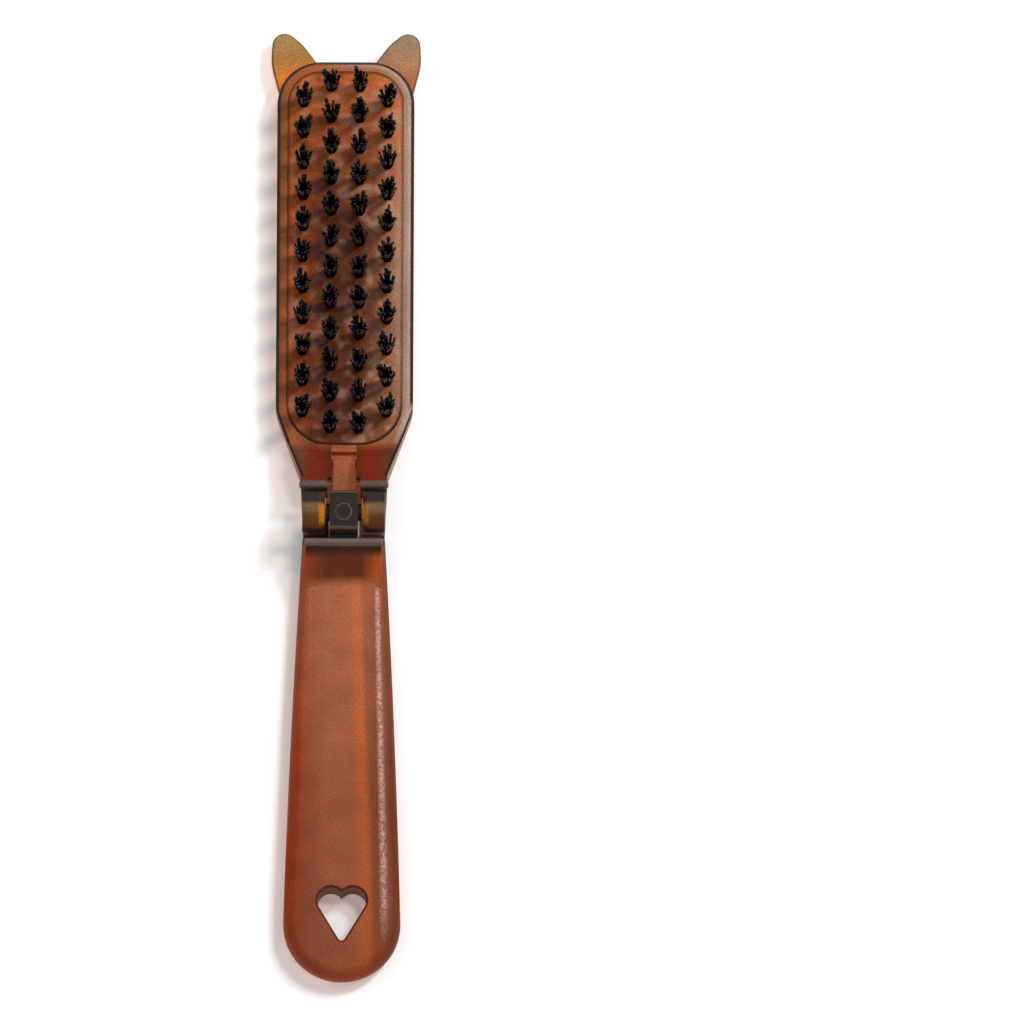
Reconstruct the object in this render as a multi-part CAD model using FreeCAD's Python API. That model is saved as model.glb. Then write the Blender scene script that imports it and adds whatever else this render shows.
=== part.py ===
import FreeCAD, Part
import math
import os

# Folding travel brush, lying on its back, unfolded, bristles up.
# While it is modelled, y = 0 is the hinge axis, the head lies towards +Y, the handle towards -Y,
# x = 0 is the middle of the brush and z = 0 is the table. Lengths are millimetres.

# Head
head_width = 30.0
head_top = 102.9
head_depth = 7.6
head_corner_r = 9.6
head_back_r = 2.6
head_front_chamfer = 0.6
shoulder_y = 24.1
shoulder_r = 9.0
neck_half = 9.5
neck_y = 9.0
neck_r = 5.0
cheek_half = 8.9
cheek_end = 3.9
back_wall = 1.6
rim_width = 2.25
ledge_width = 0.9
plate_thickness = 2.2
plate_lower_r = 9.4
plate_bottom_y = 16.3

# Ears, thin plates at mid height of the head
ear_thickness = 2.2
ear_base_z = 2.9
ear_inner_x = 3.8
ear_inner_drop = 3.2
ear_crest_x = 9.65
ear_crest_rise = 4.67
ear_crest_r = 10.0
ear_tip_x = 15.9
ear_tip_rise = 9.7
ear_tip_r = 2.7
ear_bulge_x = 16.5
ear_bulge_rise = 0.2
ear_bulge_r = 12.0
ear_outer_x = 13.9
ear_outer_drop = 9.6
ear_chamfer = 0.4

# Hinge on the head: the lip, two barrels, the pin
axis_z = 12.5
lip_near = 5.6
lip_far = 7.3
lip_gap = 0.4
lip_proud = 0.7
lip_half = 9.75
lip_overhang = 0.25
lip_chamfer = 0.35
lip_split_half = 3.6
ramp_foot_y = 16.8
tray_top_y = 14.6
tray_wall = 1.6
slot_half = 4.15
barrel_r = 4.4
barrel_outer_x = 9.0
barrel_chamfer = 1.0
post_half = 3.2
pin_r = 0.75
pin_recess = 0.3
pin_press_clearance = 0.01
pin_running_clearance = 0.05

# Latch leaf in the neck and the windows under it
leaf_pivot_y = 13.6
leaf_bead_r = 0.75
leaf_bead_half = 3.4
leaf_half = 2.4
leaf_thickness = 1.2
leaf_top_z = 3.8
leaf_rise = 3.2
leaf_step_y = 4.4
leaf_seat_gap = 0.05
leaf_side_gap = 0.3
pad_half = 3.05
pad_front_y = 1.6
pad_end_y = 2.6
pad_bottom_z = 1.0
window_half = 4.25
window_top_y = 9.5

# Bristle tufts
tuft_pitch = 7.0
inner_column_x = 3.1
outer_column_x = 9.2
inner_rows = 12
outer_rows = 11
first_row_y = 20.15
tuft_hole_r = 1.3
tuft_hole_depth = 1.7
tuft_root_r = 1.2
tuft_length = 9.4
tuft_splay = 2.05
tuft_sides = 6
prong_sides = 3
prong_count = 4
prong_base_r = 0.7
prong_foot_r = 0.37
prong_tip_r = 0.28
prong_sink = 0.3
prong_length_shares = (0.98, 0.92, 1.0, 0.95)
staple_thickness = 0.3
staple_width = 2.0
staple_height = 1.2
staple_clearance = 0.04

# Handle
handle_start = 4.3
handle_end = 102.8
handle_start_half = 9.0
handle_middle_half = 11.5
handle_middle_y = 53.8
handle_end_r = 12.75
handle_depth = 7.6
handle_edge_r = 3.4
handle_wall = 1.8
handle_end_wall = 2.0
handle_split_z = 3.8
rolloff_length = 8.7
rolloff_height = 2.4
handle_lip_half = 8.25
handle_bead_half = 8.55
handle_bead_r = 0.7
handle_ramp_foot = 15.4
tongue_width = 0.6
tongue_height = 0.7
tongue_inset = 0.55
tongue_clearance = 0.05

# Heart-shaped hanging hole
heart_lobe_r = 2.95
heart_lobe_x = 2.35
heart_lobe_y = 85.55
heart_tip_y = 95.15
heart_tip_r = 0.8
heart_bevel = 0.5
heart_wall = 1.5

# Knuckle block of the handle
knuckle_half = 3.05
knuckle_r = 4.8
knuckle_flat = 3.0
knuckle_front_y = 2.0
knuckle_bottom_z = 4.3
knuckle_tail_y = 3.1
knuckle_tail_z = 1.0
knuckle_arm_top_z = 10.6
knuckle_root_end = 13.0
knuckle_root_half = 6.0
collar_r = 1.9
collar_gap = 0.25
seat_clearance = 0.1
notch_top_gap = 0.2

# Release button
button_r = 1.95
button_offset = 0.5
button_cap = 1.0
button_proud = 0.2
button_travel = 0.95
button_clearance = 0.1
button_stop_gap = 0.15
button_chamfer = 0.3
stem_r = 1.4
stem_leaf_gap = 0.25

overrun = 1.0
same_place = 0.000001

# A round edge is eased in three flats that touch its arc: a wide one, then one on each of its corners
wide_flat_share = 2 - math.sqrt(2)
corner_flat_share = math.tan(math.pi / 8) - math.tan(math.pi / 16)

half_width = head_width / 2
handle_reach = max(handle_start_half, handle_middle_half, handle_end_r) + overrun
seat_z = head_depth - plate_thickness
lip_top_z = axis_z - lip_gap / 2


def vec(x, y, z):
    return FreeCAD.Vector(x, y, z)


def rounded_wire(points, radii, z=0):
    """Closed wire through points in the XY plane, each corner rounded by its own radius."""
    corners = []
    for i, (x, y) in enumerate(points):
        here = vec(x, y, z)
        to_last = vec(*points[i - 1], z).sub(here).normalize()
        to_next = vec(*points[(i + 1) % len(points)], z).sub(here).normalize()
        turn = to_last.getAngle(to_next)
        reach = radii[i] / math.tan(turn / 2)
        middle = to_last.add(to_next).normalize()
        depth = radii[i] / math.sin(turn / 2) - radii[i]
        corners.append((here + to_last * reach, here + middle * depth, here + to_next * reach, radii[i]))
    edges = []
    for i, (start, top, end, radius) in enumerate(corners):
        last_end = corners[i - 1][2]
        edges.append(Part.LineSegment(last_end, start).toShape())
        if radius > 0:
            edges.append(Part.Arc(start, top, end).toShape())
    return Part.Wire(edges)


def prism(wire, z0, z1):
    """Solid standing on a wire, from height z0 to height z1."""
    solid = Part.Face(wire).extrude(vec(0, 0, z1 - z0))
    solid.translate(vec(0, 0, z0))
    return solid


def box(x0, x1, y0, y1, z0, z1):
    return Part.makeBox(x1 - x0, y1 - y0, z1 - z0, vec(x0, y0, z0))


def pair_box(x0, x1, y0, y1, z0, z1):
    """Two boxes, one each side of the middle."""
    return box(x0, x1, y0, y1, z0, z1).fuse(box(-x1, -x0, y0, y1, z0, z1))


def side_profile(points, half):
    """Solid of a (y, z) outline, carried across the brush from -half to +half."""
    face = Part.Face(closed([vec(-half, y, z) for y, z in points]))
    return face.extrude(vec(2 * half, 0, 0))


def rod_x(radius, x0, x1, y, z):
    return Part.makeCylinder(radius, x1 - x0, vec(x0, y, z), vec(1, 0, 0))


def edges_at(shape, z, skip_y=None):
    """Edges that lie in the plane at height z, apart from those in the plane at skip_y."""
    found = []
    for edge in shape.Edges:
        bounds = edge.BoundBox
        level = max(abs(bounds.ZMin - z), abs(bounds.ZMax - z)) < same_place
        skipped = False
        if skip_y is not None:
            skipped = max(abs(bounds.YMin - skip_y), abs(bounds.YMax - skip_y)) < same_place
        if level and not skipped:
            found.append(edge)
    return found


def eased(shape, z, inwards, radius, skip_y):
    """Rounds the edges at height z in three flats. inwards is 1 on a lower face, -1 on an upper one."""
    setback = radius * wide_flat_share
    shape = shape.makeChamfer(setback, edges_at(shape, z, skip_y))
    corners = edges_at(shape, z, skip_y) + edges_at(shape, z + inwards * setback, skip_y)
    return shape.makeChamfer(radius * corner_flat_share, corners)


def head_wire():
    """Outline of the head, neck and cheeks."""
    right = [
        (half_width, head_top),
        (half_width, shoulder_y),
        (neck_half, neck_y),
        (cheek_half, -cheek_end),
    ]
    radii = [head_corner_r, shoulder_r, neck_r, 0]
    left = [(-x, y) for x, y in reversed(right)]
    return rounded_wire(right + left, radii + radii[::-1])


def plate_wire(inset):
    """Outline of the bristle plate's seat, round at its four corners, drawn in by inset."""
    side = half_width - rim_width - inset
    top = head_top - rim_width - inset
    bottom = plate_bottom_y + inset
    upper_r = head_corner_r - rim_width - inset
    lower_r = plate_lower_r - inset
    points = [(side, top), (side, bottom), (-side, bottom), (-side, top)]
    return rounded_wire(points, [upper_r, lower_r, lower_r, upper_r])


def ear(side):
    """One ear: a thin plate with a rounded tip and chamfered edges. side is 1 or -1."""
    points = [
        (side * ear_inner_x, head_top - ear_inner_drop),
        (side * ear_crest_x, head_top + ear_crest_rise),
        (side * ear_tip_x, head_top + ear_tip_rise),
        (side * ear_bulge_x, head_top + ear_bulge_rise),
        (side * ear_outer_x, head_top - ear_outer_drop),
    ]
    wire = rounded_wire(points, [0, ear_crest_r, ear_tip_r, ear_bulge_r, 0])
    ear_top_z = ear_base_z + ear_thickness
    plate = prism(wire, ear_base_z, ear_top_z)
    return plate.makeChamfer(ear_chamfer, edges_at(plate, ear_base_z) + edges_at(plate, ear_top_z))


def lip_bead(radius, half, y):
    """Round bead along a lip, its ends chamfered, its top level with the lip's top."""
    bead = rod_x(radius, -half, half, y, lip_top_z - radius)
    ends = [edge for edge in bead.Edges if edge.BoundBox.XLength < same_place]
    return bead.makeChamfer(lip_chamfer, ends)


def neck_width_at(y):
    """Half width of the neck on its straight taper."""
    share = (y - neck_y) / (shoulder_y - neck_y)
    return neck_half + share * (half_width - neck_half)


def head_shell():
    """Back shell of the head in one moulding with the ears, the neck, the lip and the hinge barrels."""
    body = prism(head_wire(), 0, head_depth)
    body = eased(body, 0, 1, head_back_r, -cheek_end)
    body = body.makeChamfer(head_front_chamfer, edges_at(body, head_depth, -cheek_end))
    riser = prism(head_wire(), seat_z, lip_top_z)
    lip_front = lip_near + lip_overhang
    ramp = [
        (ramp_foot_y, seat_z),
        (ramp_foot_y, head_depth),
        (lip_far, lip_top_z - lip_proud),
        (lip_front, lip_top_z - lip_proud),
        (lip_front, seat_z),
    ]
    body = body.fuse(riser.common(side_profile(ramp, half_width)))
    bead = lip_bead((lip_far - lip_near) / 2, lip_half, (lip_far + lip_near) / 2)
    body = body.fuse([bead, ear(1), ear(-1)])

    body = body.cut(prism(plate_wire(0), seat_z, head_depth + overrun))
    body = body.cut(prism(plate_wire(ledge_width), back_wall, head_depth))
    tray_low = neck_width_at(lip_far) - tray_wall
    tray_high = neck_width_at(tray_top_y) - tray_wall
    tray = [(tray_high, tray_top_y), (tray_low, lip_far), (-tray_low, lip_far), (-tray_high, tray_top_y)]
    chamber_top = leaf_axis_z() + leaf_bead_r + leaf_side_gap
    body = body.cut(prism(rounded_wire(tray, [0, 0, 0, 0]), back_wall, chamber_top))
    slit = leaf_half + leaf_side_gap
    body = body.cut(box(-slit, slit, lip_near, tray_top_y, back_wall, axis_z))
    split = lip_split_half
    body = body.cut(box(-split, split, lip_near - overrun, lip_far + overrun, back_wall, axis_z))

    post = pair_box(slot_half, cheek_half, -post_half, post_half, seat_z, axis_z)
    body = body.fuse([post, barrel(1), barrel(-1)])
    slot_end = -cheek_end - overrun
    body = body.cut(box(-slot_half, slot_half, slot_end, lip_near, back_wall, head_depth + overrun))
    pad_window = pad_half + leaf_side_gap
    window_cut = back_wall + overrun
    body = body.cut(box(-pad_window, pad_window, slot_end, pad_front_y + overrun, -overrun, window_cut))
    body = body.cut(box(-window_half, window_half, pad_front_y, window_top_y, -overrun, window_cut))
    bore_r = pin_r + pin_press_clearance
    body = body.cut(rod_x(bore_r, -half_width, half_width, 0, axis_z))

    saddle_top = leaf_axis_z() - leaf_bead_r - leaf_seat_gap
    saddle_start = leaf_pivot_y - leaf_bead_r
    saddle = box(-leaf_bead_half, leaf_bead_half, saddle_start, tray_top_y, back_wall, saddle_top)
    return body.fuse(saddle).removeSplitter()


def barrel(side):
    """One hinge barrel on the axis, its inner end chamfered towards the knuckle."""
    length = barrel_outer_x - slot_half
    straight = Part.makeCylinder(barrel_r, length - barrel_chamfer, vec(0, 0, barrel_chamfer))
    nose = Part.makeCone(barrel_r - barrel_chamfer, barrel_r, barrel_chamfer)
    solid = straight.fuse(nose)
    solid.rotate(vec(0, 0, 0), vec(0, 1, 0), side * 90)
    solid.translate(vec(side * slot_half, 0, axis_z))
    return solid


def hinge_pin():
    """Steel pin through both barrels and the knuckle, a little short of the barrels' outer ends."""
    reach = barrel_outer_x - pin_recess
    return rod_x(pin_r, -reach, reach, 0, axis_z)


def leaf_axis_z():
    return leaf_top_z + leaf_rise - leaf_thickness / 2


def latch_leaf():
    """Sprung leaf in the neck: a bead at its root, a strip with a step, and the pad under the knuckle."""
    high = leaf_top_z + leaf_rise
    low = leaf_top_z - leaf_thickness
    step_back = leaf_step_y + leaf_thickness
    strip = [
        (leaf_pivot_y, high),
        (leaf_step_y, high),
        (leaf_step_y, leaf_top_z),
        (pad_front_y - overrun, leaf_top_z),
        (pad_front_y - overrun, low),
        (step_back, low),
        (step_back, high - leaf_thickness),
        (leaf_pivot_y, high - leaf_thickness),
    ]
    strip = side_profile(strip, leaf_half)
    bead = rod_x(leaf_bead_r, -leaf_bead_half, leaf_bead_half, leaf_pivot_y, leaf_axis_z())
    pad = box(-pad_half, pad_half, -pad_end_y, pad_front_y, pad_bottom_z, leaf_top_z)
    return strip.fuse([bead, pad]).removeSplitter()


def tuft_rows():
    """(column x, row y) of each row of two tufts, from the neck to the top of the head."""
    rows = []
    for i in range(inner_rows):
        rows.append((inner_column_x, first_row_y + i * tuft_pitch))
        if i < outer_rows:
            rows.append((outer_column_x, first_row_y + (i + 0.5) * tuft_pitch))
    return rows


def bristle_plate():
    """Flat plate in the head's rim with a blind hole for each tuft."""
    plate = prism(plate_wire(seat_clearance), seat_z, head_depth)
    holes = []
    for column_x, y in tuft_rows():
        for x in (-column_x, column_x):
            mouth = closed(polygon(x, y, 0, tuft_hole_r, tuft_sides))
            holes.append(prism(mouth, head_depth - tuft_hole_depth, head_depth + overrun))
    return plate.cut(holes)


def polygon(x, y, z, radius, sides, turn=0):
    """Corners of a flat regular polygon, on a circle."""
    corners = []
    for i in range(sides):
        angle = turn + 2 * math.pi * i / sides
        corners.append(vec(x + radius * math.cos(angle), y + radius * math.sin(angle), z))
    return corners


def closed(corners):
    return Part.makePolygon(corners + corners[:1])


def tapered(foot, tip):
    """Solid with flat sides between two polygons of as many corners."""
    faces = [Part.Face(closed(foot)), Part.Face(closed(tip))]
    for i, corner in enumerate(foot):
        faces.append(Part.Face(closed([foot[i - 1], corner, tip[i], tip[i - 1]])))
    return Part.makeSolid(Part.makeShell(faces))


def prong(angle, base_r, splay, length):
    """One clump of filaments: a three-sided taper that leans out from the root of its tuft."""
    c = math.cos(angle)
    s = math.sin(angle)
    foot = polygon(base_r * c, base_r * s, head_depth - prong_sink, prong_foot_r, prong_sides, angle)
    tip = polygon(splay * c, splay * s, head_depth + length, prong_tip_r, prong_sides, angle)
    return tapered(foot, tip)


def tuft():
    """One bristle tuft at x = y = 0: a bound root, slit for its staple, and clumps that splay outwards."""
    floor_z = head_depth - tuft_hole_depth
    root = prism(closed(polygon(0, 0, 0, tuft_root_r, tuft_sides)), floor_z, head_depth)
    slit = staple_thickness / 2 + staple_clearance
    slit_top = floor_z + staple_height + staple_clearance
    root = root.cut(box(-tuft_hole_r, tuft_hole_r, -slit, slit, floor_z - overrun, slit_top))
    clumps = [prong(0, 0, 0, tuft_length)]
    for i in range(prong_count):
        angle = 2 * math.pi * i / prong_count
        clumps.append(prong(angle, prong_base_r, tuft_splay, tuft_length * prong_length_shares[i]))
    return root.fuse(clumps).removeSplitter()


def staple():
    """Flat wire anchor that holds a tuft in its hole, at x = y = 0."""
    floor_z = head_depth - tuft_hole_depth
    width = staple_width / 2
    depth = staple_thickness / 2
    return box(-width, width, -depth, depth, floor_z, floor_z + staple_height)


def moved(shape, x, y):
    copy = shape.copy()
    copy.translate(vec(x, y, 0))
    return copy


def tuft_row(one_tuft, column_x, y):
    return Part.makeCompound([moved(one_tuft, x, y) for x in (-column_x, column_x)])


def tuft_anchors():
    one = staple()
    places = [(x, y) for column_x, y in tuft_rows() for x in (-column_x, column_x)]
    return Part.makeCompound([moved(one, x, y) for x, y in places])


def handle_side():
    """Centre and radius of the arc along the handle's side: through its start and its middle, then smoothly
    into the round end. The radius is negative where the side is hollow."""
    first = vec(handle_start_half, -handle_start, 0)
    second = vec(handle_middle_half, -handle_middle_y, 0)
    end = vec(0, handle_end_r - handle_end, 0)
    chord = second - first
    inward = vec(chord.y, -chord.x, 0).normalize()
    middle = (first + second) * 0.5
    # The centre lies on the chord's middle line at depth t, and the radius there is base + slope * t
    base = 2 * middle.dot(end - first) - end.dot(end) + first.dot(first) + handle_end_r ** 2
    base = base / (2 * handle_end_r)
    slope = inward.dot(end - first) / handle_end_r
    square = slope ** 2 - 1
    root = math.sqrt((base * slope) ** 2 - square * (base ** 2 - (chord.Length / 2) ** 2))
    depths = [(-base * slope + sign * root) / square for sign in (1, -1)]
    depths = [t for t in depths if t * (base + slope * t) > 0]
    depth = max(depths, key=abs)
    return middle + inward * depth, base + slope * depth


def handle_wire(inset, start):
    """Outline of the handle, drawn in by inset: sides swell towards a round end."""
    centre, radius = handle_side()
    reach = abs(radius - inset)
    end = vec(0, handle_end_r - handle_end, 0)
    second = vec(handle_middle_half, -handle_middle_y, 0)
    across = math.copysign(math.sqrt(reach ** 2 - (start + centre.y) ** 2), radius)
    near = vec(centre.x + across, -start, 0)
    middle = centre + (second - centre).normalize() * reach
    touch = centre + (end - centre).normalize() * reach
    left = [vec(-point.x, point.y, 0) for point in (touch, middle, near)]
    edges = [
        Part.Arc(near, middle, touch),
        Part.Arc(touch, vec(0, inset - handle_end, 0), left[0]),
        Part.Arc(*left),
        Part.LineSegment(left[2], near),
    ]
    return Part.Wire([edge.toShape() for edge in edges])


def heart_wire(grow, z=0):
    """Heart outline, grown by grow all round: two lobes and their tangents to a small round tip."""
    centre_y = -heart_lobe_y
    rise = heart_tip_y - heart_lobe_y
    reach = math.hypot(heart_lobe_x, rise)
    lean = math.atan2(heart_lobe_x, rise) + math.asin(heart_lobe_r / reach)
    lobe_r = heart_lobe_r + grow
    tip_r = heart_tip_r + grow
    tip_y = heart_tip_r / math.sin(lean) - heart_tip_y
    cleft = vec(0, centre_y + math.sqrt(lobe_r ** 2 - heart_lobe_x ** 2), z)
    foot = vec(0, tip_y - tip_r, z)
    half = math.sqrt(0.5)
    edges = []
    for side in (1, -1):
        tip_end = vec(side * tip_r * math.cos(lean), tip_y - tip_r * math.sin(lean), z)
        tip_crest = vec(side * tip_r * math.sin(lean / 2), tip_y - tip_r * math.cos(lean / 2), z)
        touch = vec(side * (heart_lobe_x + lobe_r * math.cos(lean)), centre_y - lobe_r * math.sin(lean), z)
        crest = vec(side * (heart_lobe_x + lobe_r * half), centre_y + lobe_r * half, z)
        edges.append(Part.Arc(foot, tip_crest, tip_end).toShape())
        edges.append(Part.LineSegment(tip_end, touch).toShape())
        edges.append(Part.Arc(touch, crest, cleft).toShape())
    return Part.Wire(Part.__sortEdges__(edges))


def heart_hole():
    """Heart-shaped hole through the handle, bevelled at both faces."""
    hole = prism(heart_wire(0), -overrun, handle_depth + overrun)
    bevels = []
    for face_z, outwards in ((0, -1), (handle_depth, 1)):
        narrow = heart_wire(0, face_z - outwards * heart_bevel)
        wide = heart_wire(2 * heart_bevel, face_z + outwards * heart_bevel)
        bevels.append(Part.makeLoft([narrow, wide], True, True))
    return hole.fuse(bevels)


def rounded_bar():
    """Bar of the handle's outline with rounded long edges at both faces."""
    bar = prism(handle_wire(0, handle_start), 0, handle_depth)
    bar = eased(bar, 0, 1, handle_edge_r, -handle_start)
    return eased(bar, handle_depth, -1, handle_edge_r, -handle_start)


def handle_body():
    """The closed, hollow handle before it is split: bar, lip, hollow, heart hole and knuckle seat."""
    body = rounded_bar()
    ramp = [
        (-handle_ramp_foot, handle_depth),
        (-lip_near - 2 * handle_bead_r, lip_top_z - lip_proud),
        (-lip_near - lip_overhang, lip_top_z - lip_proud),
        (-lip_near - lip_overhang, handle_depth),
        (-handle_start, handle_depth - handle_edge_r / 2),
        (-handle_start, handle_split_z),
        (-handle_ramp_foot, handle_split_z),
    ]
    bead = lip_bead(handle_bead_r, handle_bead_half, -lip_near - handle_bead_r)
    body = body.fuse([side_profile(ramp, handle_lip_half), bead])
    rolloff = [
        (-handle_start + overrun, -overrun),
        (-handle_start + overrun, rolloff_height),
        (-handle_start, rolloff_height),
        (-handle_start - rolloff_length, 0),
        (-handle_start - rolloff_length, -overrun),
    ]
    body = body.cut(side_profile(rolloff, handle_reach))
    hollow_wire = handle_wire(handle_wall, handle_start + handle_end_wall)
    hollow = prism(hollow_wire, handle_wall, handle_depth - handle_wall)
    hollow = hollow.cut(prism(heart_wire(heart_wall), 0, handle_depth))
    body = body.cut(hollow)
    body = body.cut(heart_hole())
    notch = knuckle_half + seat_clearance
    notch_top = knuckle_arm_top_z + notch_top_gap
    notch_end = handle_start + handle_end_wall + overrun
    body = body.cut(box(-notch, notch, -notch_end, -handle_start + overrun, -overrun, notch_top))
    return body.removeSplitter()


def tongue_ring(clearance, height):
    """Ring in the middle of the handle's wall, at the split."""
    outer_wire = handle_wire(tongue_inset - clearance, handle_start + tongue_inset)
    outer = prism(outer_wire, handle_split_z, height)
    inset = tongue_inset + tongue_width + clearance
    inner = prism(handle_wire(inset, handle_start - overrun), handle_split_z, height)
    return outer.cut(inner)


def handle_shells():
    """Front and back shells of the handle, with a tongue and groove at the split."""
    body = handle_body()
    reach = handle_end + overrun
    lower = box(-handle_reach, handle_reach, -reach, 0, -overrun, handle_split_z)
    ring = tongue_ring(0, handle_split_z + tongue_height)
    groove = tongue_ring(tongue_clearance, handle_split_z + tongue_height + tongue_clearance)
    notch = knuckle_half + seat_clearance
    gate = box(-notch, notch, -handle_start - handle_end_wall - overrun, 0, 0, handle_depth)
    back = body.common(lower).fuse(body.common(ring).cut(gate))
    front = body.cut(lower).cut(groove)
    return front.removeSplitter(), back.removeSplitter()


def knuckle_block():
    """Middle knuckle of the hinge with the stem bore, its arm and its root between the handle shells."""
    drum = rod_x(knuckle_r, -knuckle_half, knuckle_half, 0, axis_z)
    tail = -knuckle_tail_y
    end = -handle_start - handle_end_wall
    arm = [
        (knuckle_front_y, knuckle_bottom_z),
        (knuckle_front_y, axis_z),
        (0, axis_z),
        (-lip_near, knuckle_arm_top_z),
        (end, knuckle_arm_top_z),
        (end, knuckle_tail_z),
        (tail, knuckle_tail_z),
        (tail, knuckle_bottom_z),
    ]
    block = drum.fuse(side_profile(arm, knuckle_half))
    root_low = handle_wall + seat_clearance
    root_high = handle_depth - handle_wall - seat_clearance
    root_start = -handle_start - handle_end_wall - seat_clearance
    root = box(-knuckle_root_half, knuckle_root_half, -knuckle_root_end, root_start, root_low, root_high)
    stub = box(-knuckle_half, knuckle_half, root_start - overrun, end + overrun, root_low, root_high)
    collar = slot_half - collar_gap
    block = block.fuse([root, stub, rod_x(collar_r, -collar, collar, 0, axis_z)])
    flat_z = axis_z + knuckle_flat
    drum_top = axis_z + knuckle_r + overrun
    block = block.cut(box(-knuckle_half, knuckle_half, -knuckle_r, knuckle_r, flat_z, drum_top))
    well_depth = button_cap - button_proud + button_travel + button_stop_gap
    well_floor = flat_z - well_depth
    well_r = button_r + button_clearance
    block = block.cut(Part.makeCylinder(well_r, well_depth + overrun, vec(0, -button_offset, well_floor)))
    block = block.cut(Part.makeCylinder(stem_r + button_clearance, well_floor + overrun))
    block = block.cut(rod_x(pin_r + pin_running_clearance, -slot_half, slot_half, 0, axis_z))
    return block.removeSplitter()


def release_button():
    """Round button with a stem down to the latch leaf, slotted so that it slides past the hinge pin."""
    top = axis_z + knuckle_flat + button_proud
    cap = Part.makeCylinder(button_r, button_cap, vec(0, -button_offset, top - button_cap))
    cap = cap.makeChamfer(button_chamfer, edges_at(cap, top))
    foot = leaf_top_z + stem_leaf_gap
    stem = Part.makeCylinder(stem_r, top - button_cap - foot, vec(0, 0, foot))
    slot_half_width = pin_r + button_clearance
    slot_low = axis_z - slot_half_width
    slot_high = axis_z + slot_half_width + button_travel
    slot = box(-button_r, button_r, -slot_half_width, slot_half_width, slot_low, slot_high)
    return cap.fuse(stem).cut(slot).removeSplitter()


def build():
    """All nodes by name, still about the hinge axis."""
    front, back = handle_shells()
    nodes = {
        "head_shell": head_shell(),
        "bristle_plate": bristle_plate(),
        "tuft_anchors": tuft_anchors(),
        "hinge_pin": hinge_pin(),
        "latch_leaf": latch_leaf(),
        "knuckle_block": knuckle_block(),
        "handle_front_shell": front,
        "handle_back_shell": back,
        "release_button": release_button(),
    }
    one_tuft = tuft()
    for i, (column_x, y) in enumerate(tuft_rows()):
        nodes["tuft_row_%02d" % (i + 1)] = tuft_row(one_tuft, column_x, y)
    return nodes


def main():
    nodes = build()
    whole = FreeCAD.BoundBox()
    for shape in nodes.values():
        whole.add(shape.optimalBoundingBox(False, False))
    shift = -(whole.YMax + whole.YMin) / 2
    os.makedirs("parts", exist_ok=True)
    for name, shape in nodes.items():
        shape.translate(vec(0, shift, 0))
        shape.exportStep("parts/%s.step" % name)
    print("hinge axis at y = %.4f, z = %.4f" % (shift, axis_z))


main()
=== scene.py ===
import functools
import math

import bmesh
import bpy
import numpy as np
from mathutils import Matrix, Vector


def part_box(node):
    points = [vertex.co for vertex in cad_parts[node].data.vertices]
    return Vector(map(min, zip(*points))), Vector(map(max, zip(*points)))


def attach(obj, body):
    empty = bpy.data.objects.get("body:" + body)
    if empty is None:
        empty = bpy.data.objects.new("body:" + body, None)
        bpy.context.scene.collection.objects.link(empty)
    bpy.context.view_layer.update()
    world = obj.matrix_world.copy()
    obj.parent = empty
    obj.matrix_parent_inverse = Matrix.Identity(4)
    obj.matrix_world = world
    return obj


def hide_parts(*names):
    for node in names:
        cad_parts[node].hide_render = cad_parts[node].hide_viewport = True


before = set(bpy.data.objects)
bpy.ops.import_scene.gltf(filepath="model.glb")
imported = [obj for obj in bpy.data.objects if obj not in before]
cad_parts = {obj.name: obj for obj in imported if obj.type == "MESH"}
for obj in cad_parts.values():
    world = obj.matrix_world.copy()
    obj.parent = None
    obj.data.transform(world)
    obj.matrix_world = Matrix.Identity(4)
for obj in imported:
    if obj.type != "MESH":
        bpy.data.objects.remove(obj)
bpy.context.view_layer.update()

bl_info = {
    "name": "Folding travel brush",
    "version": (1, 0, 0),
    "blender": (4, 5, 0),
    "location": "View3D > Sidebar > Brush",
    "description": "Amber mouldings, nylon tufts, hinge pieces, floor, light and camera of a folding brush",
    "category": "Object",
}

MM = 0.001
EAR_TIP_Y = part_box("head_shell")[1].y
PLATE_LOW, PLATE_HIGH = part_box("bristle_plate")
HANDLE_LOW, HANDLE_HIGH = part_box("handle_front_shell")
PAD_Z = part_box("latch_leaf")[0].z
PIN_LOW, PIN_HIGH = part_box("hinge_pin")
AXIS = (PIN_LOW + PIN_HIGH) / 2
TUFT_ROWS = sorted(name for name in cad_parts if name.startswith("tuft_row_"))

# Places on the mouldings that their colours follow. RAMP_Y and HANDLE_FACE start from the hinge's axis.
FACE_Z = 7.6 * MM                    # flat faces of the head's rim and of the handle
LIP_Z = 11.6 * MM                    # top of the head's lip at the hinge
RAMP_Y = (7.3 * MM, 16.8 * MM)       # the neck's ramp, from the lip to its foot
HEAD_HALF = 15 * MM                  # half the head's width without its ears
HEAD_CORNER = 9.6 * MM               # radius of the head's corners in plan
RIM = 2.35 * MM                      # from the plate's edge to the head's outline
PLATE_CORNER = HEAD_CORNER - RIM     # radius of the plate's corners between the ears
PLATE_LOW_CORNER = 9.4 * MM          # radius of the plate's corners at the neck
NECK_SLOPE = 0.377                   # how far a side of the neck comes in, over the way along it
BARREL_R = 4.4 * MM                  # radius of the hinge's barrels
HANDLE_FACE = (15 * MM, 85 * MM)     # the handle's flat face, from the ramp to the heart-shaped hole
HANDLE_TAPER = 0.7                   # the handle's width at the hinge over its width at the end
HEART = (0, AXIS.y - 88 * MM, FACE_Z / 2)    # middle of the heart-shaped hole

# Colours that more than one layer has
LAMP_HAZE = "B89E8E"                 # pale haze on the side towards the lamp
# STRIP_HAZE is amber paled by painted haze from the light
STRIP_HAZE = "A25A36"                # the leaf, and the strip that goes on above it

NOISE = (0.3, 0.7)                   # where nearly all values of a noise texture lie

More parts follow.
